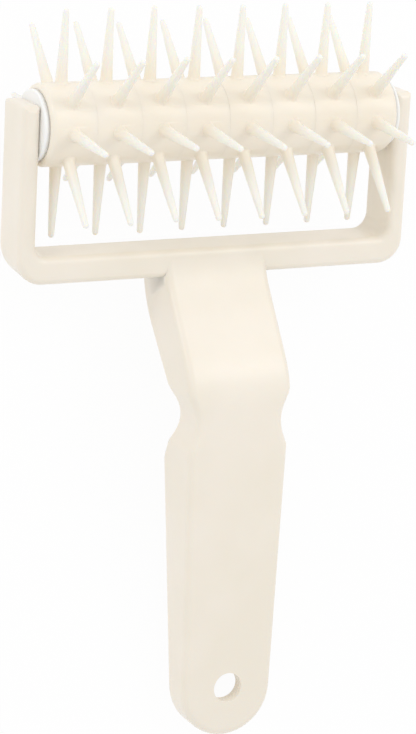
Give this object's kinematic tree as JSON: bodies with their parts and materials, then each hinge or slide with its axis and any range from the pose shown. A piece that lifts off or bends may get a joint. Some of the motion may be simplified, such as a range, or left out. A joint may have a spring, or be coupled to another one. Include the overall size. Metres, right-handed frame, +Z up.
{
  "type": "dough docker",
  "caption": "Hand roller with tapered spikes in a moulded yoke with a raised grip, which pierces rolled dough so that it doesn't blister in the oven.",
  "frame": {"origin": "centre of the bounding box at the level of the table that the docker lies on", "axes": "+X along the roller, +Y from the end of the handle towards the roller, +Z up, with the front of the handle up"},
  "size_m": [0.114, 0.1943, 0.0578],
  "materials": {
    "ivory_frame": "moulded, satin",
    "ivory_roller": "moulded, satin",
    "white_plug": "moulded, matt"
  },
  "bodies": {
    "handle_frame": {"frame": "ivory_frame"},
    "roller": {"core_tube": "ivory_roller", "end_plug_left": "white_plug", "end_plug_right": "white_plug", "ring_1": "ivory_roller", "ring_2": "ivory_roller", "ring_3": "ivory_roller", "ring_4": "ivory_roller", "ring_5": "ivory_roller", "ring_6": "ivory_roller", "ring_7": "ivory_roller", "ring_8": "ivory_roller"}
  },
  "joints": [
    {"name": "roller_spin", "type": "hinge", "parent": "handle_frame", "child": "roller", "pos_m": [0, 0.06825, 0.02892], "axis": [1, 0, 0], "continuous": true}
  ]
}
